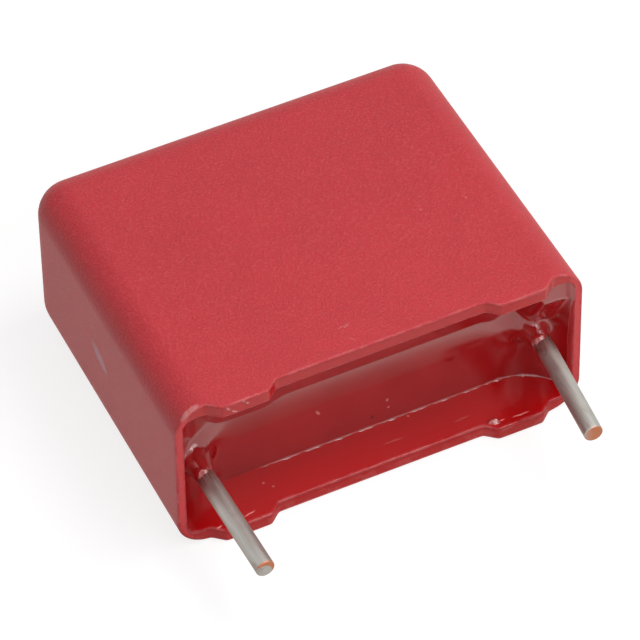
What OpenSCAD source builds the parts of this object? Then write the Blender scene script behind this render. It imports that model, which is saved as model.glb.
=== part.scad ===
// Box film capacitor with two radial leads, lying on one broad side.
// X runs along the lead pitch, Y into the case from its open end, Z up.
// The origin is at the middle of the whole object's footprint, on the surface that it lies on.

/* [Case] */
// Thickness of the case across its broad sides, at the open end
body_w = 8; // [6:0.5:12]
// Height from the tips of the feet to the closed end
body_h = 15; // [11:0.5:22]
// Distance from each lead to the end of the case beside it
end_margin = 1.5; // [1.2:0.1:2.5]
// Taper of the outside walls, in degrees a side, so that the case leaves its mould
draft = 0.38; // [0:0.02:1]
// Radius of the outer corners and of the edges round the closed end
corner_r = 1.45; // [0.4:0.05:2]
// Thickness of the two broad walls at the rim
side_wall = 0.65; // [0.4:0.05:1]
// Thickness of the two end walls at the rim
end_wall = 0.4; // [0.3:0.05:0.8]
// Thickness of the closed end
floor_wall = 0.8; // [0.5:0.05:1.5]
// Radius of the cavity's inner corners
cavity_r = 0.5; // [0.2:0.05:1]
// Taper of the cavity's walls, in degrees a side
cavity_draft = 0.5; // [0:0.05:1]

/* [Feet] */
// Height of the stand-off feet over the rim
foot_h = 0.45; // [0.2:0.05:0.8]
// Length of a foot's flat tip
foot_l = 2; // [1:0.1:3]
// Distance from the end of the case to a foot's flat tip
foot_inset = 1.9; // [1.5:0.1:3]
// Length of the slope on each side of a foot
foot_slope = 0.5; // [0.2:0.05:1]

/* [Leads] */
// Distance between the two leads where they leave the resin
lead_pitch = 15; // [10:0.5:22.5]
// Diameter of the lead wire
lead_d = 0.8; // [0.6:0.1:1]
// How far the left lead reaches past the feet
left_lead_out = 4.4; // [3:0.1:25]
// How far the right lead reaches past the feet
right_lead_out = 4.28; // [3:0.1:25]
// Inward lean of the left lead, in degrees
left_toe = 0.8; // [0.6:0.1:6]
// Inward lean of the right lead, in degrees
right_toe = 5; // [0.6:0.1:6]
// Height of the left lead over the middle of the case's thickness
left_lead_z = -0.88; // [-1:0.02:1]
// Height of the right lead over the middle of the case's thickness
right_lead_z = -0.34; // [-1:0.02:1]
// Depth below the rim at which the leads bend
bend_depth = 0.24; // [0.2:0.02:0.5]
// How far the wire swells where it was upset by that bend
knuckle_swell = 0.02; // [0.01:0.01:0.1]
// Width of the bevel round a lead's cut end
tip_bevel = 0.06; // [0.02:0.02:0.2]
// How far up the winding's height each lead is welded, from its resin side
weld_l = 6; // [2:0.5:9]

/* [Resin] */
// Depth of the resin's surface below the rim, along the middle
resin_depth = 2; // [1:0.1:3]
// Radius of the hollow that the resin's surface makes along each broad wall
side_meniscus_r = 0.8; // [0.3:0.05:1]
// Radius of the slope on which the resin climbs towards each end wall
end_climb_r = 2.6; // [1:0.1:3]
// Depth below the rim at which the resin ends on the end walls
end_climb_depth = 0.6; // [0.4:0.05:1]
// Depth below the rim at which the resin ends on the leads
collar_depth = 0.5; // [0.4:0.05:1]
// Radius of the hollow of the sink marks in the resin, one below each lead
sink_r = 0.26; // [0.1:0.02:0.4]
// Depth of a sink mark
sink_depth = 0.12; // [0.05:0.01:0.2]
// Distance from a lead's axis to its sink mark, towards the middle of the capacitor
sink_in = 0.2; // [0:0.05:1]
// Distance from a lead's axis to its sink mark, towards the surface below
sink_down = 1.3; // [0.8:0.05:1.6]

/* [Capacitor element] */
// Resin left between the winding and the walls round it
winding_clear = 0.25; // [0.1:0.05:0.6]
// Resin over the winding, below the surface
winding_cover = 0.8; // [0.3:0.05:2]
// Thickness of the sprayed metal on each end of the winding
spray_t = 0.5; // [0.3:0.05:0.8]
// How deep each lead is pressed into the sprayed metal
weld_sink = 0.14; // [0.05:0.01:0.2]

/* [Hidden] */
$fn = 48;

hull_fn = 32; // facets of a full circle in the moulded corners
edge_steps = 6; // slices that round the case's closed end
slice_t = 0.01; // thickness of one such slice
bend_gap = 0.05; // from the middle of a lead's bend to the straight wire on each side
past = 1; // how far a cut runs past the face that it opens

// Each depth below is measured along Y from the tips of the feet.
body_l = lead_pitch + 2 * end_margin;
rim_y = foot_h;
resin_y = rim_y + resin_depth;
bend_y = rim_y + bend_depth;
floor_y = body_h - floor_wall;
cavity_l = body_l - 2 * end_wall;
cavity_w = body_w - 2 * side_wall;
lead_r = lead_d / 2;
lead_x = lead_pitch / 2;
knuckle_r = lead_r + knuckle_swell;
collar_r = resin_depth - collar_depth; // the flare round a lead runs out level with the resin
climb_x = cavity_l / 2 - end_climb_r; // where the resin starts to climb towards an end wall

winding_y0 = resin_y + winding_cover;
winding_y1 = floor_y - winding_clear;
winding_h = winding_y1 - winding_y0;
winding_w = cavity_w - 2 * (winding_clear + winding_y1 * tan(cavity_draft));
spray_x = lead_x - lead_r + weld_sink;
winding_l = 2 * (spray_x - spray_t);

longest_out = max(left_lead_out, right_lead_out);
seat_y = (longest_out - body_h) / 2;

// Puts a piece from its place in the upright case to where the lying capacitor holds it.
module lying() {
    translate([0, seat_y, body_w / 2])
        children();
}

// Does the same to one on each side: the left one is the right one's mirror image.
module on_side(side) {
    if (side < 0)
        mirror([1, 0, 0])
            children();
    else
        children();
}

// The four round corners of a thin slice across the case at depth y, to be hulled.
module slice(l, w, r, y) {
    for (x = [-1, 1], z = [-1, 1])
        translate([x * (l / 2 - r), y, z * (w / 2 - r)])
            rotate([-90, 0, 0])
                cylinder(h = slice_t, r = r, $fn = hull_fn);
}

// A box that tapers from y0 to y1 and is rounded over at y1. Its size is that at depth 0.
module moulded_block(l, w, r, end_r, taper, y0, y1) {
    hull() {
        slice(l - 2 * y0 * tan(taper), w - 2 * y0 * tan(taper), r, y0);
        for (i = [0 : edge_steps]) {
            a = 90 * i / edge_steps;
            y = y1 - slice_t - end_r * (1 - sin(a));
            inset = y * tan(taper) + end_r * (1 - cos(a));
            slice(l - 2 * inset, w - 2 * inset, max(r - end_r * (1 - cos(a)), slice_t), y);
        }
    }
}

// The space inside the case, open at its mouth.
module cavity() {
    moulded_block(cavity_l, cavity_w, cavity_r, cavity_r, cavity_draft, -past, floor_y);
}

// One foot's outline, cut straight through both broad walls.
module foot_outline() {
    tip_out = body_l / 2 - foot_inset;
    tip_in = tip_out - foot_l;
    polygon([
        [tip_in - foot_slope, rim_y],
        [tip_in, 0],
        [tip_in, -past],
        [tip_out, -past],
        [tip_out, 0],
        [tip_out + foot_slope, rim_y]
    ]);
}

// What is cut from the case's mouth to leave the four feet standing over its rim.
module rim_cut() {
    translate([0, 0, -body_w])
        linear_extrude(2 * body_w)
            difference() {
                translate([-body_l, -past])
                    square([2 * body_l, past + rim_y]);
                for (side = [-1, 1])
                    on_side(side)
                        foot_outline();
            }
}

module case() {
    color([0.77, 0.26, 0.29])
        lying()
            difference() {
                moulded_block(body_l, body_w, corner_r, corner_r, draft, 0, body_h);
                cavity();
                rim_cut();
            }
}

// The wire from its bend to its cut end, standing along +Z with its cut edge bevelled.
module cut_wire(from, to) {
    rotate_extrude()
        polygon([
            [0, from],
            [lead_r, from],
            [lead_r, to - tip_bevel],
            [lead_r - tip_bevel, to],
            [0, to]
        ]);
}

// The right lead: straight from its weld to the bend, then leaning in by toe degrees.
module wire(out, toe, z) {
    translate([lead_x, bend_y, z]) {
        sphere(knuckle_r);
        rotate([-90, 0, 0])
            translate([0, 0, bend_gap])
                cylinder(h = winding_y0 + weld_l - bend_y - bend_gap, r = lead_r);
        rotate([90, 0, -toe])
            cut_wire(bend_gap, (out + bend_y) / cos(toe));
    }
}

module wire_at(side) {
    on_side(side)
        if (side < 0)
            wire(left_lead_out, left_toe, left_lead_z);
        else
            wire(right_lead_out, right_toe, right_lead_z);
}

module lead_left() {
    color([0.72, 0.71, 0.68])
        lying()
            wire_at(-1);
}

module lead_right() {
    color([0.72, 0.71, 0.68])
        lying()
            wire_at(1);
}

// The element's section: a roll pressed flat, with round ends.
module roll_section() {
    end_r = winding_w / 2;
    translate([winding_y0 + end_r, 0])
        circle(end_r);
    translate([winding_y1 - end_r, 0])
        circle(end_r);
    translate([winding_y0 + end_r, -end_r])
        square([winding_h - 2 * end_r, winding_w]);
}

// A length of that section along X, from x0 to x1.
module roll(x0, x1) {
    translate([x0, 0, 0])
        rotate([90, 0, 90])
            linear_extrude(x1 - x0)
                roll_section();
}

module winding() {
    color([0.83, 0.84, 0.86])
        lying()
            roll(-winding_l / 2, winding_l / 2);
}

// The sprayed end, with the groove that its lead is welded into.
module end_spray(side) {
    color([0.62, 0.63, 0.64])
        lying()
            difference() {
                on_side(side)
                    roll(winding_l / 2, spray_x);
                wire_at(side);
            }
}

module end_spray_left() {
    end_spray(-1);
}

module end_spray_right() {
    end_spray(1);
}

// How far an arc of radius r has climbed, over the run that it has covered.
function climb(r, run) = r - sqrt(r * r - pow(max(run, 0), 2));

// The empty part of the cavity along its length: level, then an arc that climbs at each end.
module hollow_along() {
    translate([-climb_x, -past])
        square([2 * climb_x, resin_y + past]);
    translate([-body_l, -past])
        square([2 * body_l, rim_y + end_climb_depth + past]);
    for (side = [-1, 1])
        translate([side * climb_x, resin_y - end_climb_r])
            circle(end_climb_r);
}

// The empty part of the cavity across it: level, with a hollow corner along each broad wall.
module hollow_across() {
    arc_z = cavity_w / 2 - side_meniscus_r - resin_y * tan(cavity_draft);
    arc_y = resin_y - side_meniscus_r;
    translate([-past, -arc_z])
        square([resin_y + past, 2 * arc_z]);
    translate([-past, -body_w])
        square([arc_y + past, 2 * body_w]);
    for (side = [-1, 1])
        translate([arc_y, side * arc_z])
            circle(side_meniscus_r);
}

// The dished space over the resin.
module hollow() {
    intersection() {
        translate([0, 0, -body_w])
            linear_extrude(2 * body_w)
                hollow_along();
        translate([-body_l, 0, 0])
            rotate([90, 0, 90])
                linear_extrude(2 * body_l)
                    hollow_across();
    }
}

// The resin that has crept up a lead, flaring out until it is level with the surface round it.
module collar(z) {
    translate([lead_x, rim_y + collar_depth, z])
        rotate([-90, 0, 0])
            rotate_extrude()
                difference() {
                    square([lead_r + collar_r, collar_r + winding_cover / 2]);
                    translate([lead_r + collar_r, 0])
                        circle(collar_r);
                }
}

// The mark where the resin sank below a lead while it set, on the slope that it has there.
module sink_mark(z) {
    x = lead_x - sink_in;
    from_lead = norm([sink_in, sink_down]);
    rise = max(climb(end_climb_r, x - climb_x), climb(collar_r, lead_r + collar_r - from_lead));
    translate([x, resin_y - rise - sink_r + sink_depth, z - sink_down])
        sphere(sink_r);
}

module potting() {
    color([0.58, 0.16, 0.16])
        lying()
            difference() {
                union() {
                    difference() {
                        cavity();
                        hollow();
                    }
                    intersection() {
                        cavity();
                        union() {
                            on_side(-1)
                                collar(left_lead_z);
                            on_side(1)
                                collar(right_lead_z);
                        }
                    }
                }
                on_side(-1)
                    sink_mark(left_lead_z);
                on_side(1)
                    sink_mark(right_lead_z);
                roll(-spray_x, spray_x);
                wire_at(-1);
                wire_at(1);
            }
}

case();
potting();
winding();
end_spray_left();
end_spray_right();
lead_left();
lead_right();
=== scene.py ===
"""A box film capacitor that lies on its broad side: moulded case, cast resin, wound element, two leads.

Lengths are written in millimetres and angles in degrees. Every mesh is turned into metres when it is
made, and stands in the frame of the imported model: X along the pitch of the leads, Y into the case from
its open end, Z up.
"""

import math

import bmesh
import bpy
import numpy as np
from mathutils import Matrix, Vector


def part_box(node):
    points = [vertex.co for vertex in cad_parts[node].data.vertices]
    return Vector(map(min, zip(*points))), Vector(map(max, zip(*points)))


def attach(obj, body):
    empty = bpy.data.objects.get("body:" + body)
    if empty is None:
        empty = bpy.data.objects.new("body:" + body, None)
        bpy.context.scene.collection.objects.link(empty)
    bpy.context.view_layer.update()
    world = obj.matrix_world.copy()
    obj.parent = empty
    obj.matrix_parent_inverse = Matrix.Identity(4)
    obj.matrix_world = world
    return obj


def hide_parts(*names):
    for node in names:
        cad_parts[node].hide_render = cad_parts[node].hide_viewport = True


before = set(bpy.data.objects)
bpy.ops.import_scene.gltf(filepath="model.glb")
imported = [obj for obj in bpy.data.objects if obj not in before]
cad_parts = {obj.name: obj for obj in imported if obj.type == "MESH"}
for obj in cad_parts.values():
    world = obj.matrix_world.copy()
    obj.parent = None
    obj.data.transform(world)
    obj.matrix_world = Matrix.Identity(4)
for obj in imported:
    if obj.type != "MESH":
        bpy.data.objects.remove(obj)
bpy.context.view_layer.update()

# ---- Case ------------------------------------------------------------------------------------
# A cup moulded from red plastic in a spark-eroded mould, so its skin is finely grained and matt.
# Its walls taper towards the closed end, and four low feet stand over the thin rim of its mouth.

MM = 0.001

case_low, case_high = (np.array(corner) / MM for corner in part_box("case"))
foot_tip = case_low[1]
case_mid = (case_low + case_high) / 2
case_length, case_height, case_width = case_high - case_low
draft = math.tan(math.radians(0.38))
corner_radius = 1.45
side_wall = 0.65
end_wall = 0.4
floor_wall = 0.8
cavity_corner = 0.5
cavity_draft = math.tan(math.radians(0.5))
foot_height = 0.45
foot_middle = 6.1
foot_half = 1.0
foot_slope = 0.5
foot_rounding = 0.12
rim_outer_edge = 0.09
rim_inner_edge = 0.07
rim_y = foot_tip + foot_height


def surface(name, points, closed=False, **marks):
    """A mesh over a grid of points (rows, columns, 3): each four neighbours make a face, and where
    the grid is closed its last column meets the first. Points that coincide, as at a pole or along
    a seam, become one. Each mark is a number for every point, kept as an attribute."""
    rows, columns = points.shape[:2]
    index = np.arange(rows * columns).reshape(rows, columns)
    if closed:
        index = np.hstack([index, index[:, :1]])
    faces = np.stack([index[:-1, :-1], index[1:, :-1], index[1:, 1:], index[:-1, 1:]], axis=-1)
    mesh = bpy.data.meshes.new(name)
    mesh.from_pydata((points.reshape(-1, 3) * MM).tolist(), [], faces.reshape(-1, 4).tolist())
    for mark, values in marks.items():
        attribute = mesh.attributes.new(mark, "FLOAT", "POINT")
        attribute.data.foreach_set("value", np.broadcast_to(values, (rows, columns)).ravel())
    joined = bmesh.new()
    joined.from_mesh(mesh)
    bmesh.ops.remove_doubles(joined, verts=joined.verts, dist=0.00001 * MM)
    bmesh.ops.recalc_face_normals(joined, faces=joined.faces)
    joined.to_mesh(mesh)
    joined.free()
    mesh.shade_smooth()
    piece = bpy.data.objects.new(name, mesh)
    bpy.context.scene.collection.objects.link(piece)
    return piece


def stations(*stretches):
    """Numbers from one end of a line to the other: each stretch is (start, end, steps)."""
    starts = [np.linspace(a, b, steps, endpoint=False) for a, b, steps in stretches]
    return np.concatenate(starts + [[stretches[-1][1]]])


def around(half_l, half_w, radius, way):
    """Where one gets to, at a distance way from the middle of a broad side, on a rectangle with round
    corners: straight on to the corner, round a quarter circle, then straight down its end."""
    straight = half_l - radius
    turn = np.clip((way - straight) / radius, 0, math.pi / 2)
    down = np.maximum(way - straight - radius * math.pi / 2, 0)
    x = np.minimum(way, straight) + radius * np.sin(turn)
    z = half_w - radius * (1 - np.cos(turn)) - down
    return x, z


def all_round(x, z):
    """The whole outline from its quarter: forward, then back below, and the same on the far side."""
    xs = np.hstack([x, x[:, -2::-1], -x[:, 1:], -x[:, -2:0:-1]])
    zs = np.hstack([z, -z[:, -2::-1], -z[:, 1:], z[:, -2:0:-1]])
    return xs, zs


def rings(half_l, half_w, radius, depth, follow=0.0, shrink=1.0, edge=0.0, inside=0.0):
    """Rows of the case's skin: each is an outline at a depth from the feet's tips. Follow says how much
    of the rim's rise and fall it takes, shrink draws it in towards the middle. Edge marks a corner,
    and inside marks what faces the cavity."""
    return np.stack(np.broadcast_arrays(half_l, half_w, radius, depth, follow, shrink, edge, inside),
                    axis=-1)


def rim_fall(x):
    """How far the rim lies below the feet's tips: nothing on a foot, then a slope whose two ends are
    rounded, as the difference of two hyperbolas, and the whole height beside it."""
    away = (np.abs(np.abs(x) - foot_middle) - foot_half) / foot_slope
    rise = (np.hypot(away, foot_rounding) - np.hypot(away - 1, foot_rounding) + 1) / 2
    return foot_height * np.clip(rise, 0, 1)


def case_points():
    """The cup as one skin: out over the closed end, up the outer wall, over the rim, down the inner
    wall and in over the cavity's floor. Walls lean by their draft, edges are quarter circles."""
    length, width = case_length / 2, case_width / 2
    turn = np.linspace(math.pi / 2, 0, 11)
    inset = corner_radius * (1 - np.cos(turn))
    depth = case_height - corner_radius * (1 - np.sin(turn))
    out_l, out_w = length - depth * draft - inset, width - depth * draft - inset
    tiny = 0.002
    closed_end = rings(out_l[0], out_w[0], tiny, case_height, shrink=np.linspace(0, 1, 7)[:-1])
    heel = rings(out_l, out_w, np.maximum(corner_radius - inset, tiny), depth)

    share = stations((0, 0.01, 1), (0.01, 0.97, 26), (0.97, 1, 4))[1:]
    depth = (1 - share) * (case_height - corner_radius) + share * rim_outer_edge
    outer = rings(length - depth * draft, width - depth * draft, corner_radius, depth, share)

    turn = np.linspace(0, math.pi / 2, 6)[1:]
    inset = rim_outer_edge * (1 - np.cos(turn))
    lip = rings(length - inset, width - inset, corner_radius - inset,
                rim_outer_edge * (1 - np.sin(turn)), 1, edge=1)

    across = np.array([0.06, 0.3, 0.5, 0.7, 0.94])
    from_l, from_w = length - rim_outer_edge, width - rim_outer_edge
    to_l, to_w = length - end_wall + rim_inner_edge, width - side_wall + rim_inner_edge
    from_r, to_r = corner_radius - rim_outer_edge, cavity_corner + rim_inner_edge
    face = rings(from_l + across * (to_l - from_l), from_w + across * (to_w - from_w),
                 from_r + across * (to_r - from_r), 0, 1, inside=0.8)

    turn = np.linspace(0, math.pi / 2, 6)
    outset = rim_inner_edge * (1 - np.sin(turn))
    mouth_l, mouth_w = length - end_wall, width - side_wall
    mouth = rings(mouth_l + outset, mouth_w + outset, cavity_corner + outset,
                  rim_inner_edge * (1 - np.cos(turn)), 1, edge=1, inside=turn > math.pi / 4)

    floor = case_height - floor_wall
    share = stations((0, 0.01, 1), (0.01, 0.2, 6), (0.2, 1, 8))[1:]
    depth = (1 - share) * rim_inner_edge + share * (floor - cavity_corner)
    inner = rings(mouth_l - depth * cavity_draft, mouth_w - depth * cavity_draft, cavity_corner,
                  depth, 1 - share, inside=1)

    turn = np.linspace(0, math.pi / 2, 5)[1:]
    inset = cavity_corner * (1 - np.cos(turn))
    depth = floor - cavity_corner * (1 - np.sin(turn))
    in_l, in_w = mouth_l - depth * cavity_draft - inset, mouth_w - depth * cavity_draft - inset
    foot_of_wall = rings(in_l, in_w, np.maximum(cavity_corner - inset, tiny), depth, inside=1)
    bottom = rings(in_l[-1], in_w[-1], tiny, floor, shrink=np.linspace(1, 0, 4)[1:], inside=1)

    skin = np.concatenate([closed_end, heel, outer, lip, face, mouth, inner, foot_of_wall, bottom])
    half_l, half_w, radius, depth, follow, shrink, edge, inside = (c[:, None] for c in skin.T)
    beside_feet = foot_middle + foot_half + 0.4
    along = stations((0, 4.4, 24), (4.4, 5.3, 18), (5.3, 6.9, 10), (6.9, beside_feet, 12))
    rest = np.linspace(0, 1, 44)[1:]
    whole = half_l + half_w - radius * (2 - math.pi / 2)
    way = np.hstack([np.broadcast_to(along, (len(skin), len(along))),
                     beside_feet + rest * (whole - beside_feet)])
    x, z = all_round(*around(half_l, half_w, radius, way))
    lip_row = len(skin) // 2
    rim_x = all_round(*around(length, width, corner_radius, way[lip_row:lip_row + 1]))[0]
    y = foot_tip + depth + follow * rim_fall(rim_x)
    points = np.stack([case_mid[0] + shrink * x, y, case_mid[2] + shrink * z], axis=-1)
    return points, edge, inside


class Value:
    """One output of a node. Sums, products and the like of values add their Math nodes."""

    def __init__(self, finish, socket):
        self.finish = finish
        self.socket = socket

    def math(self, operation, first, second):
        return self.finish.node("ShaderNodeMath", {"operation": operation}, {0: first, 1: second})

    def __add__(self, other):
        return self.math("ADD", self, other)

    def __sub__(self, other):
        return self.math("SUBTRACT", self, other)

    def __rsub__(self, other):
        return self.math("SUBTRACT", other, self)

    def __mul__(self, other):
        return self.math("MULTIPLY", self, other)

    def __pow__(self, other):
        return self.math("POWER", self, other)

    def larger(self, other):
        return self.math("MAXIMUM", self, other)

    def smaller(self, other):
        return self.math("MINIMUM", self, other)


class Finish:
    """A material, or the world, while its nodes are being laid. Places in it are in millimetres."""

    def __init__(self, owner, shader="ShaderNodeBsdfPrincipled", fixed={}):
        self.owner = owner
        owner.use_nodes = True
        self.tree = owner.node_tree
        self.tree.nodes.clear()
        is_world = isinstance(owner, bpy.types.World)
        self.end = self.tree.nodes.new("ShaderNodeOutputWorld" if is_world else "ShaderNodeOutputMaterial")
        self.skin = self.tree.nodes.new(shader)
        self.tree.links.new(self.skin.outputs[0], self.end.inputs["Surface"])
        self.wire(self.skin, fixed)

    def wire(self, node, sockets):
        """Gives each named or numbered socket its value, or links the value that another node makes."""
        for name, value in sockets.items():
            if isinstance(value, Value):
                self.tree.links.new(value.socket, node.inputs[name])
            else:
                node.inputs[name].default_value = value

    def node(self, kind, settings={}, sockets={}, output=0):
        """Adds a node: its settings first, and then its sockets."""
        made = self.tree.nodes.new(kind)
        for name, value in settings.items():
            setattr(made, name, value)
        self.wire(made, sockets)
        return Value(self, made.outputs[output])

    def place(self):
        """The point being shaded, in millimetres in the frame of the model."""
        point = self.node("ShaderNodeTexCoord", output="Object")
        return self.node("ShaderNodeVectorMath", {"operation": "SCALE"}, {0: point, "Scale": 1 / MM})

    def mark(self, name):
        """A number kept for every point of the mesh."""
        return self.node("ShaderNodeAttribute", {"attribute_name": name}, output="Fac")

    def noise(self, place, size, detail=2.0, rough=0.5, stretch=(1, 1, 1)):
        """Cloudy noise about 0.5, whose lumps are size across, times the stretch along each axis."""
        scale = tuple(1 / (size * s) for s in stretch)
        spread = self.node("ShaderNodeVectorMath", {"operation": "MULTIPLY"}, {0: place, 1: scale})
        return self.node("ShaderNodeTexNoise", {},
                         {"Vector": spread, "Scale": 1.0, "Detail": detail, "Roughness": rough})

    def between(self, value, low, high, to_low=0.0, to_high=1.0):
        """Runs smoothly from to_low, where value is low, to to_high, where it is high."""
        return self.node("ShaderNodeMapRange", {"interpolation_type": "SMOOTHSTEP"},
                         {"Value": value, "From Min": low, "From Max": high,
                          "To Min": to_low, "To Max": to_high})

    def mix(self, share, first, second):
        """The first colour turning into the second as share goes from 0 to 1."""
        return self.node("ShaderNodeMix", {"data_type": "RGBA"}, {0: share, 6: first, 7: second}, output=2)

    def axis(self, place, name):
        """One coordinate of a place."""
        return self.node("ShaderNodeSeparateXYZ", {}, {0: place}, output=name)

    def reach(self, place, centre, size, turn=(0, 0, 0)):
        """How far a place is from a centre, as a share of the way to an oval round it."""
        local = self.node("ShaderNodeMapping", {"vector_type": "TEXTURE"},
                          {"Vector": place, "Location": centre, "Rotation": turn, "Scale": size})
        return self.node("ShaderNodeVectorMath", {"operation": "LENGTH"}, {0: local}, output="Value")

    def spot(self, place, centre, size, turn=(0, 0, 0), soft=0.6):
        """1 within an oval about a centre and 0 outside it, fading over its outer soft share."""
        return self.between(self.reach(place, centre, size, turn), 1 - soft, 1, 1, 0)

    def strokes(self, place, width, *paths):
        """1 along each straight mark from one point to another, and 0 away from it."""
        marks = 0
        for start, end in paths:
            way = Vector(end) - Vector(start)
            turn = way.to_track_quat("X", "Z").to_euler()
            middle = (Vector(start) + Vector(end)) / 2
            size = (way.length / 2 + width / 2, width / 2, width)
            mark = self.spot(place, middle, size, turn)
            marks = mark.larger(marks)
        return marks

    def bump(self, height, strength, distance):
        """The surface tilted as if height stood up from it by distance, in millimetres."""
        return self.node("ShaderNodeBump", {}, {
            "Height": height, "Strength": strength, "Distance": distance * MM})


def paint(red, green, blue):
    """A colour from its three values between 0 and 255, as on a paint chart."""
    shares = [c / 255 for c in (red, green, blue)]
    return [s / 12.92 if s <= 0.04045 else ((s + 0.055) / 1.055) ** 2.4 for s in shares] + [1.0]


ragged_size = 0.2
ragged_shift = 0.1


def ragged_place(finish, place):
    """A place moved a little at random, so that what is drawn there gets an uneven outline."""
    drift = finish.node("ShaderNodeTexNoise", {}, {"Vector": place, "Scale": 1 / ragged_size}, output="Color")
    drift = finish.node("ShaderNodeVectorMath", {"operation": "SCALE"}, {0: drift, "Scale": ragged_shift})
    moved = finish.node("ShaderNodeVectorMath", {"operation": "ADD"}, {0: place, 1: drift})
    return finish.node("ShaderNodeVectorMath", {"operation": "SUBTRACT"},
                       {0: moved, 1: (ragged_shift / 2,) * 3})


def grained_body(finish, place, grain, inside):
    """The plastic's own colour: clouded, with the grain's tops paler and its pits darker where it is
    matt, and deep red where it is polished. The inside of the two end walls is painted paler, as painted
    light and sheen that these walls catch."""
    sideways = finish.axis(place, "X")
    from_end = case_length / 2 - sideways.larger(sideways * -1)
    polished = inside * finish.between(from_end, 0.42, 0.7, 0.45, 1)
    matt = 1 - polished
    clouds = finish.noise(place, 3.5, detail=3.0)
    body = finish.mix(finish.between(clouds, 0.3, 0.7), paint(191, 28, 41), paint(197, 31, 44))
    body = finish.mix(finish.between(grain, 0.47, 0.68, 0, 0.5) * matt, body, paint(211, 82, 86))
    body = finish.mix(finish.between(grain, 0.3, 0.45, 0.35, 0) * matt, body, paint(166, 20, 30))
    body = finish.mix(polished, body, paint(187, 9, 14))
    # Painted light: the inside of the end walls is painted paler, standing in for the light and sheen that it
    # catches.
    end_walls_painted_light = inside * finish.between(from_end, 0.42, 0.7, 1, 0)
    return finish.mix(end_walls_painted_light, body, paint(222, 60, 64)), polished


def rubbed_and_lit_edges(finish, place, body):
    """Paler on the rim's edges, partly from rubbing and partly as a painted highlight along them. Paler
    along the lower wall's rim too, as painted light and sheen that stand in for light bounced up from the
    floor.
    """
    rub_and_sheen = finish.between(finish.noise(place, 0.5, detail=3.0), 0.4, 0.62, 0.08, 0.4)
    # Rubbed wear and a painted highlight: the rim's edges are painted paler.
    body = finish.mix(finish.mark("edge") ** 2 * rub_and_sheen, body, paint(214, 112, 112))
    # Painted light: the lower wall's rim is painted paler, standing in for light and sheen from the floor.
    low_rim_painted_light = finish.between(finish.axis(place, "Z"), 0.66, 0.3) * \
        finish.between(finish.axis(place, "Y"), rim_y + 0.12, rim_y - 0.02)
    return finish.mix(low_rim_painted_light * finish.between(rub_and_sheen, 0.08, 0.4, 0.14, 0.3), body, paint(222, 122, 118))


def scratched(finish, place, ragged, body):
    """Short cuts and fainter lines on the upper side and its feet, a rubbed corner at the left foot and
    a pale smear on the left end. The cuts come back too, as they also stand up."""
    cuts = finish.strokes(ragged, 0.075,
                          ((-5.39, 2.54, 8.0), (-5.05, 2.61, 8.0)),
                          ((-7.25, 2.36, 8.0), (-6.82, 2.43, 8.0)),
                          ((-1.05, -3.61, 8.0), (-0.72, -3.5, 8.0)),
                          ((-8.77, -0.36, 7.85), (-8.41, 0.0, 7.9)),
                          ((-6.28, -5.25, 8.0), (-6.1, -5.3, 7.8)), ((-6.1, -5.3, 7.8), (-5.96, -5.3, 7.67)),
                          ((-6.94, -5.3, 7.9), (-6.73, -5.3, 7.62)),
                          ((-6.73, -5.3, 7.62), (-6.44, -5.3, 7.42)))
    faint = finish.strokes(ragged, 0.06, ((-1.4, -3.61, 8.0), (-0.55, -3.38, 8.0)),
                           ((-1.18, -4.14, 8.0), (-0.78, -4.4, 8.0)),
                           ((-6.9, -5.25, 7.95), (-5.2, -5.25, 7.98)))
    rubbed = finish.strokes(ragged, 0.3, ((-8.66, -4.8, 7.55), (-8.3, -4.72, 7.84)),
                            ((-8.3, -4.72, 7.84), (-7.95, -4.74, 7.98)))
    for centre in ((7.91, 2.37, 8.0), (6.53, 0.68, 8.0), (4.6, 0.87, 8.0)):
        cuts = cuts.larger(finish.spot(place, centre, (0.07, 0.07, 0.1)) * 0.6)
    body = finish.mix(cuts.larger(faint * 0.4) * 0.85, body, paint(236, 150, 148))
    body = finish.mix(rubbed * 0.6, body, paint(228, 152, 150))
    smear = finish.strokes(place, 0.42, ((-8.95, 3.35, 4.3), (-8.95, 1.9, 3.75)))
    return finish.mix(smear * 0.4, body, paint(200, 180, 200)), cuts


def painted_glints_and_streaks(finish, ragged, body):
    """Painted highlights: short pale dashes along the inner edges of the lower wall's feet, which stand in
    for lamps glinting there. Fainter pale streaks and specks on the lower wall besides.
    """
    # Painted highlights: glints of lamps along the inner edges of the lower feet, not resin.
    glint_paint = finish.strokes(ragged, 0.085,
                              ((5.79, -4.97, 0.65), (6.66, -4.97, 0.65)),
                              ((5.32, -4.91, 0.65), (5.52, -4.89, 0.65)),
                              ((-6.24, -4.96, 0.65), (-5.59, -4.81, 0.65)),
                              ((-7.41, -5.03, 0.65), (-7.14, -4.92, 0.65)))
    body = finish.mix(glint_paint * 0.9, body, paint(250, 172, 166))
    dull = finish.strokes(ragged, 0.12, ((0.46, -3.95, 0.65), (1.48, -3.97, 0.65)),
                          ((3.57, -4.16, 0.65), (4.38, -4.08, 0.65)),
                          ((5.12, -5.3, 0.5), (5.81, -5.3, 0.53)))
    body = finish.mix(dull * 0.28, body, paint(200, 130, 122))
    for centre in ((2.1, -3.02, 0.65), (-4.71, -3.65, 0.65), (-4.44, -3.99, 0.65)):
        speck = finish.spot(ragged, centre, (0.08, 0.08, 0.1))
        body = finish.mix(speck * 0.45, body, paint(232, 150, 145))
    return body


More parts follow.
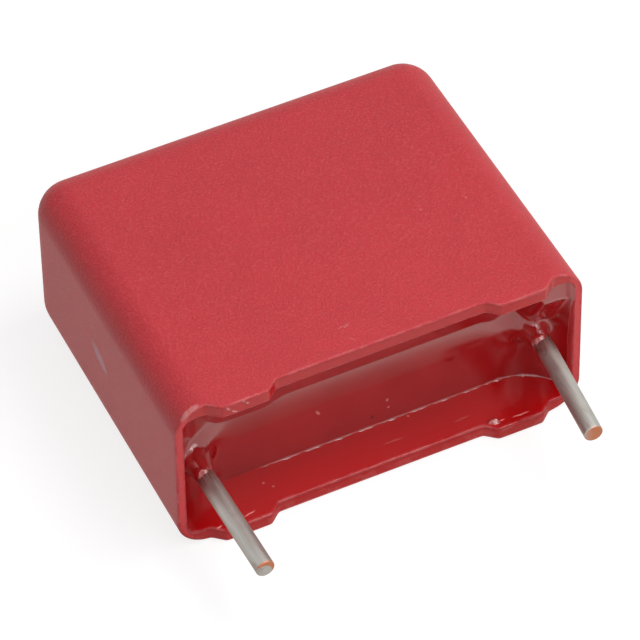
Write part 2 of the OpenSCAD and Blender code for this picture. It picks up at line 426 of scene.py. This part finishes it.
def red_plastic():
    """Red polyester: matt from the mould's fine grain and polished inside the mouth, a little paler
    where edges and corners have rubbed, with a few short scratches and pale specks. It also carries painted
    light: a painted highlight along the rim's edges, paler painted light on the lower rim and inside the end
    walls, and painted glints along the inner edges of the lower feet."""
    finish = Finish(bpy.data.materials.new("red_case_plastic"), fixed={"IOR": 1.48})
    place = finish.place()
    ragged = ragged_place(finish, place)
    grain = finish.noise(place, 0.1, detail=3.0, rough=0.65)
    body, polished = grained_body(finish, place, grain, finish.mark("inside"))
    matt = 1 - polished
    body = rubbed_and_lit_edges(finish, place, body)
    body, cuts = scratched(finish, place, ragged, body)
    finish.wire(finish.skin, {
        "Base Color": painted_glints_and_streaks(finish, ragged, body),
        "Roughness": finish.between(grain, 0.3, 0.7, 0.38, 0.54) * matt + polished * 0.2,
        "Normal": finish.bump(grain * matt + cuts * 0.5, 1.0, 0.07),
    })
    return finish.owner


case_skin, case_edges, case_inside = case_points()
case = surface("case_shell", case_skin, closed=True, edge=case_edges, inside=case_inside)
case.data.materials.append(red_plastic())
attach(case, "root")
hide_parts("case")

# ---- Potting ---------------------------------------------------------------------------------
# Dark red epoxy cast round the element through the open end. It has set glossy, two millimetres
# below the rim, and has crept up the walls and the leads; a few sink marks are left beside them.

resin_depth = 2.0
lower_creep = 0.11
least_fillet = 0.01
potting_clearance = 0.1
tuck = 0.02
crease_z = 4.48
crease_dip = 0.33
crease_fall = 1.5
bank_slope_left = math.tan(math.radians(8.5))
bank_slope_gain = 0.33
bank_top = 1.72
bank_creep = 1.25
bank_creep_share = 0.9
end_creep = {-1: 3.2, 1: 2.6}
end_creep_rise = {-1: 1.0, 1: 1.6}
collar_rise = 1.5
collar_reach = 0.3
lead_radius = 0.4
lead_x = 7.5
lead_z = {-1: 3.12, 1: 3.66}
sink_marks = ((7.23, 2.15, 0.4, 0.05), (7.75, 1.42, 0.2, 0.03), (-6.35, 1.34, 0.24, 0.06))


def climb(radius, run):
    """How far a quarter circle has risen over the run that it has covered, from level to upright."""
    covered = np.clip(run, 0, radius * 0.9999)
    return radius - np.sqrt(radius ** 2 - covered ** 2)


def swell(value, low, high):
    """Runs smoothly from 0 where value is low to 1 where it is high."""
    share = np.clip((value - low) / (high - low), 0, 1)
    return share * share * (3 - 2 * share)


def bank_slope(x):
    """The bank's slope, which grows towards the right end."""
    return bank_slope_left + bank_slope_gain * swell(x, 6.6, 7.3)


def crease(x):
    """The height above the lower broad side at which the resin's level part turns into the bank that it
    has left against the upper wall: lower beneath the feet, where the bank spreads, and lowest at the
    right end."""
    left = swell(x, -6.9, -6.3) * swell(x, -3.2, -4.4)
    right = swell(x, 5.2, 6.3)
    return crease_z - crease_dip * (left + right) - crease_fall * swell(x, 6.8, 7.5)


def resin_rise(x, z):
    """The height of the resin over its level middle. A gentle bank rises from the crease and a quarter
    circle climbs from it up the upper wall, as far as the bank's top. The creeps up the end walls and
    the leads join it by the fourth root of the sum of fourth powers. A thin uneven fillet up the lower
    wall is added to that, and the sink marks are taken away."""
    half_w = case_width / 2 - side_wall
    upper = bank_slope(x) * np.maximum(z - crease(x), 0)
    upper = upper + climb(bank_creep, z - case_mid[2] - (half_w - bank_creep)) * bank_creep_share
    upper = np.minimum(upper, bank_top)
    waves = 1 + 0.3 * np.sin(5.3 * x) + 0.25 * np.sin(13.1 * x + 1)
    fillet = lower_creep * waves * swell(x, -4.9, -3.9) + least_fillet
    lower = climb(fillet, -(z - case_mid[2]) - (half_w - fillet))
    creeps = [upper]
    for side in (-1, 1):
        run = math.sqrt(end_creep[side] ** 2 - (end_creep[side] - end_creep_rise[side]) ** 2)
        creeps.append(climb(end_creep[side], side * x - (case_length / 2 - end_wall - run)))
        out = np.hypot(x - side * lead_x, z - lead_z[side])
        creeps.append(collar_rise * np.exp(-np.maximum(out - lead_radius, 0) / collar_reach))
    rise = sum(c ** 4 for c in creeps) ** 0.25 + lower
    for mark_x, mark_z, radius, dip in sink_marks:
        rise = rise - dip * np.exp(-((x - mark_x) ** 2 + (z - mark_z) ** 2) / radius ** 2)
    return rise


def resin_points():
    """The casting: a grid over the mouth, one of whose columns follows the crease and whose rows draw
    in round the corners, with a skirt down the cavity's walls and a bottom that closes in a point."""
    half_l = case_length / 2 - end_wall + tuck
    half_w = case_width / 2 - side_wall + tuck
    fine = stations((0, 5.2, 40), (5.2, half_l, 90))
    x = np.concatenate([-fine[:0:-1], fine])[:, None]
    below = stations((0, 0.08, 8), (0.08, 1, 80))[None, :]
    above = stations((0, 0.06, 4), (0.06, 1, 40))[None, 1:]
    past_corner = np.maximum(np.abs(x) - (half_l - cavity_corner), 0)
    reach = half_w - cavity_corner + np.sqrt(np.maximum(cavity_corner ** 2 - past_corner ** 2, 0))
    bottom, top, fold = case_mid[2] - reach, case_mid[2] + reach, crease(x)
    z = np.hstack([bottom + below * (fold - bottom), fold + above * (top - fold)])
    x, z = np.broadcast_arrays(x, z)
    y = rim_y + resin_depth - resin_rise(x, z)
    x, y, z = (np.pad(c, 2, mode="edge") for c in (x, y, z))
    layer = np.pad(np.pad(np.zeros_like(y[2:-2, 2:-2]), 1, constant_values=1), 1, constant_values=2)
    underside = foot_tip + case_height - floor_wall - potting_clearance
    y = np.where(layer > 0, underside, y)
    x = np.where(layer > 1, 0, x)
    z = np.where(layer > 1, case_mid[2], z)
    return np.stack([x, y, z], axis=-1)


def cast_resin():
    """Glossy epoxy of a deeper red than the case, with a few specks of dust and one dark pore."""
    finish = Finish(bpy.data.materials.new("dark_red_resin"),
                    fixed={"IOR": 1.55, "Coat Weight": 0.9, "Coat Roughness": 0.06})
    place = finish.place()
    clouds = finish.noise(place, 1.8, detail=3.0)
    ripple = finish.noise(place, 1.1, detail=1.0, stretch=(1.6, 1, 0.8))
    level = rim_y + resin_depth
    body = finish.mix(finish.between(clouds, 0.3, 0.7), paint(164, 20, 24), paint(172, 26, 29))
    dust = finish.strokes(place, 0.085, ((-1.95, level, 2.8), (-1.78, level, 2.5)),
                          ((1.23, level, 1.98), (1.24, level, 1.82)),
                          ((1.28, level, 1.47), (1.3, level, 1.42)))
    body = finish.mix(dust * 0.6, body, paint(226, 150, 140))
    pore = finish.spot(place, (0.55, level, 1.2), (0.12, 0.1, 0.12))
    body = finish.mix(pore * 0.8, body, paint(92, 14, 16))
    finish.wire(finish.skin, {
        "Base Color": body,
        "Roughness": finish.between(clouds, 0.3, 0.7, 0.08, 0.14),
        "Normal": finish.bump(ripple, 0.3, 0.02),
    })
    return finish.owner


potting = surface("resin_casting", resin_points())
resin = cast_resin()
potting.data.materials.append(resin)
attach(potting, "root")
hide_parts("potting")


def bead_points(centre, up, radius, height):
    """A flattened drop: an ellipsoid of revolution about the direction up."""
    latitude = np.linspace(-math.pi / 2, math.pi / 2, 17)[:, None]
    longitude = np.linspace(0, 2 * math.pi, 32, endpoint=False)[None, :]
    local = np.stack(np.broadcast_arrays(radius * np.cos(latitude) * np.cos(longitude),
                                         radius * np.cos(latitude) * np.sin(longitude),
                                         height * np.sin(latitude)), axis=-1)
    turn = np.array(Vector(up).to_track_quat("Z", "Y").to_matrix())
    return np.array(centre) + local @ turn.T


bead_up = (-0.3, -0.62, 0.73)
beads = {
    "resin_bead_left": ((-7.66, -4.36, 3.44), bead_up, 0.27, 0.11),
    "resin_bead_right": ((7.36, -4.36, 3.96), bead_up, 0.27, 0.11),
    "resin_drop_on_foot": ((5.03, -4.93, 0.6), (-0.25, -0.6, 0.75), 0.28, 0.08),
}
for name, shape in beads.items():
    bead = surface(name, bead_points(*shape), closed=True)
    bead.data.materials.append(resin)
    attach(bead, "root")

# ---- Winding and sprayed ends ----------------------------------------------------------------
# Metallised film wound into a roll and pressed flat, inside the resin. Zinc is sprayed on to both
# of its ends, and the leads are welded to it there.


def metallised_film():
    """Bright aluminium under clear film, with the fine lines of its many turns."""
    finish = Finish(bpy.data.materials.new("metallised_film"), fixed={"Metallic": 0.9, "Coat Weight": 0.3})
    place = finish.place()
    turns = finish.noise(place, 0.05, detail=2.0, stretch=(60, 1, 1))
    finish.wire(finish.skin, {
        "Base Color": finish.mix(turns, paint(176, 178, 182), paint(222, 223, 226)),
        "Roughness": finish.between(turns, 0.3, 0.7, 0.2, 0.34),
        "Normal": finish.bump(turns, 0.4, 0.02),
    })
    return finish.owner


def sprayed_zinc():
    """Dull grey metal spray, rough as it froze in droplets."""
    finish = Finish(bpy.data.materials.new("sprayed_zinc"), fixed={"Metallic": 0.8})
    place = finish.place()
    drops = finish.noise(place, 0.12, detail=4.0, rough=0.65)
    finish.wire(finish.skin, {
        "Base Color": finish.mix(drops, paint(128, 130, 131), paint(176, 177, 176)),
        "Roughness": finish.between(drops, 0.3, 0.7, 0.55, 0.8),
        "Normal": finish.bump(drops, 0.8, 0.06),
    })
    return finish.owner


def coat(node, material):
    """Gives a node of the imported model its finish."""
    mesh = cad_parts[node].data
    mesh.materials.clear()
    mesh.materials.append(material)


zinc = sprayed_zinc()
coat("winding", metallised_film())
coat("end_spray_left", zinc)
coat("end_spray_right", zinc)

# ---- Leads -----------------------------------------------------------------------------------
# Tinned copper wire, welded to the sprayed ends and bent slightly where it leaves the resin. The
# cutter has left copper bare on both cut ends.

lead_bend_y = rim_y + 0.24
lead_lean = {-1: 0.8, 1: 5.0}
lead_bend_half = 0.25
tip_edge = 0.06
tip_inner_rings = (0.7, 0.35, 0)


def lead_points(side, low, high):
    """A straight wire up to its bend and a leaning one beyond it: rings of one radius about a line,
    joined by a short arc, with the cut end rounded off and closed in a point."""
    lean = math.radians(lead_lean[side])
    out_l = (lead_bend_y - low[1]) / math.cos(lean) - lead_radius * math.tan(lean)
    buried = high[1] - lead_bend_y
    turn = np.linspace(0, math.pi / 2, 6)[1:]
    shank = np.concatenate([[-buried], np.linspace(-buried, -0.3, 6)[1:],
                            np.linspace(-lead_bend_half, lead_bend_half, 11),
                            np.linspace(0.3, out_l - tip_edge, 24)])
    edge = out_l - tip_edge * (1 - np.sin(turn))
    s = np.concatenate([[-buried], shank, edge, np.full(len(tip_inner_rings), out_l)])
    r = np.concatenate([[0], np.full(len(shank), lead_radius), lead_radius - tip_edge * (1 - np.cos(turn)),
                        (lead_radius - tip_edge) * np.array(tip_inner_rings)])
    tilt = lean * np.clip((s + lead_bend_half) / (2 * lead_bend_half), 0, 1)
    ahead = np.concatenate([[0], np.diff(s)])
    anchor = np.argmin(np.abs(s))
    along_x = np.cumsum(-side * np.sin(tilt) * ahead)
    along_y = np.cumsum(-np.cos(tilt) * ahead)
    along_x = along_x - along_x[anchor] + side * lead_x
    along_y = along_y - along_y[anchor] + lead_bend_y
    angle = np.linspace(0, 2 * math.pi, 48, endpoint=False)[None, :]
    s, r, tilt, along_x, along_y = (c[:, None] for c in (s, r, tilt, along_x, along_y))
    x = along_x + r * np.cos(angle) * np.cos(tilt)
    y = along_y - side * r * np.cos(angle) * np.sin(tilt)
    z = lead_z[side] + r * np.sin(angle) + 0 * s
    return np.stack([x, y, z], axis=-1)


def tinned_copper(side, tip_y):
    """Dull tin drawn out along the wire, stained with resin at its root. Its cut end is bare copper,
    but for an oval smear of tin. The smear lies over the lower part of the left lead's end, and to one
    side of the right lead, whose end is bare all over."""
    finish = Finish(bpy.data.materials.new("tinned_copper"), fixed={"Metallic": 0.9})
    place = finish.place()
    along = finish.axis(place, "Y")
    drawn = finish.noise(place, 0.06, detail=3.0, stretch=(1, 25, 1))
    mottle = finish.noise(place, 0.45, detail=4.0, rough=0.6, stretch=(1, 2.5, 1))
    tin = finish.mix(finish.between(drawn, 0.3, 0.7), paint(172, 170, 164), paint(184, 182, 177))
    tin = finish.mix(finish.between(mottle, 0.5, 0.7, 0, 0.5), tin, paint(150, 136, 128))
    stain = finish.between(along + (mottle - 0.5) * 1.6, rim_y - 0.5, rim_y + 0.5)
    tin = finish.mix(stain * finish.between(drawn, 0.4, 0.6, 0.9, 0.35), tin, paint(142, 62, 52))
    smear_x = side * (lead_x + math.sin(math.radians(lead_lean[side])) * (lead_bend_y - tip_y))
    smear_z = lead_z[side] - 0.16
    from_smear = finish.reach(place, (smear_x, tip_y, smear_z), (0.43, 1, 0.4))
    bare = finish.between(along, tip_y + 0.1, tip_y + 0.03) * finish.between(from_smear, 0.9, 1.02)
    tin = finish.mix(bare * 0.85, tin, paint(192, 112, 68))
    finish.wire(finish.skin, {
        "Base Color": tin,
        "Roughness": finish.between(mottle, 0.3, 0.7, 0.42, 0.58),
        "Normal": finish.bump(drawn, 0.12, 0.01),
    })
    return finish.owner


for side, node in ((-1, "lead_left"), (1, "lead_right")):
    low, high = (np.array(corner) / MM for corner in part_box(node))
    lead = surface(f"{node}_wire", lead_points(side, low, high), closed=True)
    lead.data.materials.append(tinned_copper(side, low[1]))
    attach(lead, "root")
    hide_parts(node)

# ---- Floor, light and camera -----------------------------------------------------------------
# A white sheet under soft light: a pale room that is dimmer on the left, a broad lamp high on the
# right, a near one before the open end and a ring of small ones round a long lens on the left.


floor_drop = 0.01
paper_white = 0.7
lens_glow = 1.3
lens_share = 0.62
shaded_patch = (14, 1.72, 1)


def floor_sheet():
    """White paper, which a lens and a reflection see as brighter than it lights the object. In a
    reflection it carries a painted shade close in front of the open end, dimmer and redder there, which
    stands in for the object's shadow."""
    finish = Finish(bpy.data.materials.new("white_sheet"), "ShaderNodeMixShader")
    by_lens = finish.node("ShaderNodeLightPath", output="Is Camera Ray")
    by_gloss = finish.node("ShaderNodeLightPath", output="Is Glossy Ray")
    by_glass = finish.node("ShaderNodeLightPath", output="Is Transmission Ray")
    paper = finish.node("ShaderNodeBsdfDiffuse", {}, {"Color": (paper_white,) * 3 + (1,)})
    shown = finish.node("ShaderNodeEmission", {}, {"Color": (1, 1, 1, 1), "Strength": lens_glow})
    lit = finish.node("ShaderNodeMixShader", {}, {0: by_lens * lens_share, 1: paper, 2: shown})
    # Painted shade: in reflections the floor's glow is dimmed and tinted red close in front of the open end,
    # standing in for the object's shadow.
    away = finish.reach(finish.place(), (0, rim_y, 0), shaded_patch).smaller(1)
    painted_floor_shade = finish.mix(away ** 6 * 0.75 + away * 0.25, (0.42, 0.13, 0.12, 1), (1, 0.94, 0.89, 1))
    mirrored = finish.node("ShaderNodeEmission", {}, {"Color": painted_floor_shade, "Strength": 1.0})
    finish.wire(finish.skin, {0: by_gloss.larger(by_glass), 1: lit, 2: mirrored})
    return finish.owner


spread = 1500.0
corners = np.array([[-spread, -spread], [spread, spread]])
x, y = np.meshgrid(corners[:, 0], corners[:, 1], indexing="ij")
floor = surface("floor", np.stack([x, y, np.full_like(x, case_low[2] - floor_drop)], axis=-1))
floor.data.materials.append(floor_sheet())

world = bpy.data.worlds.new("pale_room")
bpy.context.scene.world = world
room = Finish(world, "ShaderNodeBackground", {"Color": (1, 1, 1, 1)})
sideways = room.axis(room.node("ShaderNodeTexCoord", output="Generated"), "X")
dim_left, dim_right = 0.12, 0.42
ambient = room.between(sideways, -0.9, 0.4, dim_left, dim_right)
seen = room.node("ShaderNodeLightPath", output="Is Camera Ray")
for ray in ("Is Glossy Ray", "Is Transmission Ray"):
    seen = seen.larger(room.node("ShaderNodeLightPath", output=ray))
room.wire(room.skin, {"Strength": ambient + seen * (1 - ambient)})


def toward(azimuth, elevation):
    """The unit direction from the object to a place round it: azimuth from the open end, to the right."""
    a, e = math.radians(azimuth), math.radians(elevation)
    return Vector((math.sin(a) * math.cos(e), -math.cos(a) * math.cos(e), math.sin(e)))


aim = Vector((-0.1, 0.56, 4.0)) * MM


def lamp(name, away, size, level):
    """A round soft lamp that looks at the object from a place away from it. Its level is the light
    that it gives a surface that faces it, as a share of what makes a colour look as it is written."""
    light = bpy.data.lights.new(name, "AREA")
    light.shape = "DISK"
    light.size = size * MM
    light.energy = level * (math.pi * away.length * MM) ** 2
    holder = bpy.data.objects.new(name, light)
    bpy.context.scene.collection.objects.link(holder)
    holder.location = aim + away * MM
    holder.rotation_euler = (-away).to_track_quat("-Z", "Y").to_euler()
    holder.visible_camera = False
    return holder


camera_azimuth = -25.08
camera_elevation = 47.04
camera_roll = 1.05
camera_distance = 215.93
lens_data = bpy.data.cameras.new("camera")
lens_data.lens = 300.29
lens_data.sensor_width = 36.0
lens_data.clip_end = 10.0
camera = bpy.data.objects.new("camera", lens_data)
bpy.context.scene.collection.objects.link(camera)
direction = toward(camera_azimuth, camera_elevation)
upright = (-direction).to_track_quat("-Z", "Y").to_matrix().to_4x4()
roll = Matrix.Rotation(math.radians(-camera_roll), 4, "Z")
camera.matrix_world = Matrix.Translation(aim + direction * camera_distance * MM) @ upright @ roll
bpy.context.scene.camera = camera

ring_lamps = 16
ring_radius = 90
ring_size = 22
ring_level = 0.16
for step in range(ring_lamps):
    turn = 2 * math.pi * step / ring_lamps
    offset = upright @ Vector((math.cos(turn), math.sin(turn), 0)) * ring_radius
    lamp(f"ring_lamp_{step}", direction * camera_distance + offset, ring_size, ring_level / ring_lamps)
lamp("front_lamp", toward(15, 50) * 60, 36, 0.22)
lamp("high_lamp", toward(80, 64) * 300, 150, 0.44)
bpy.context.scene.view_settings.view_transform = "Standard"
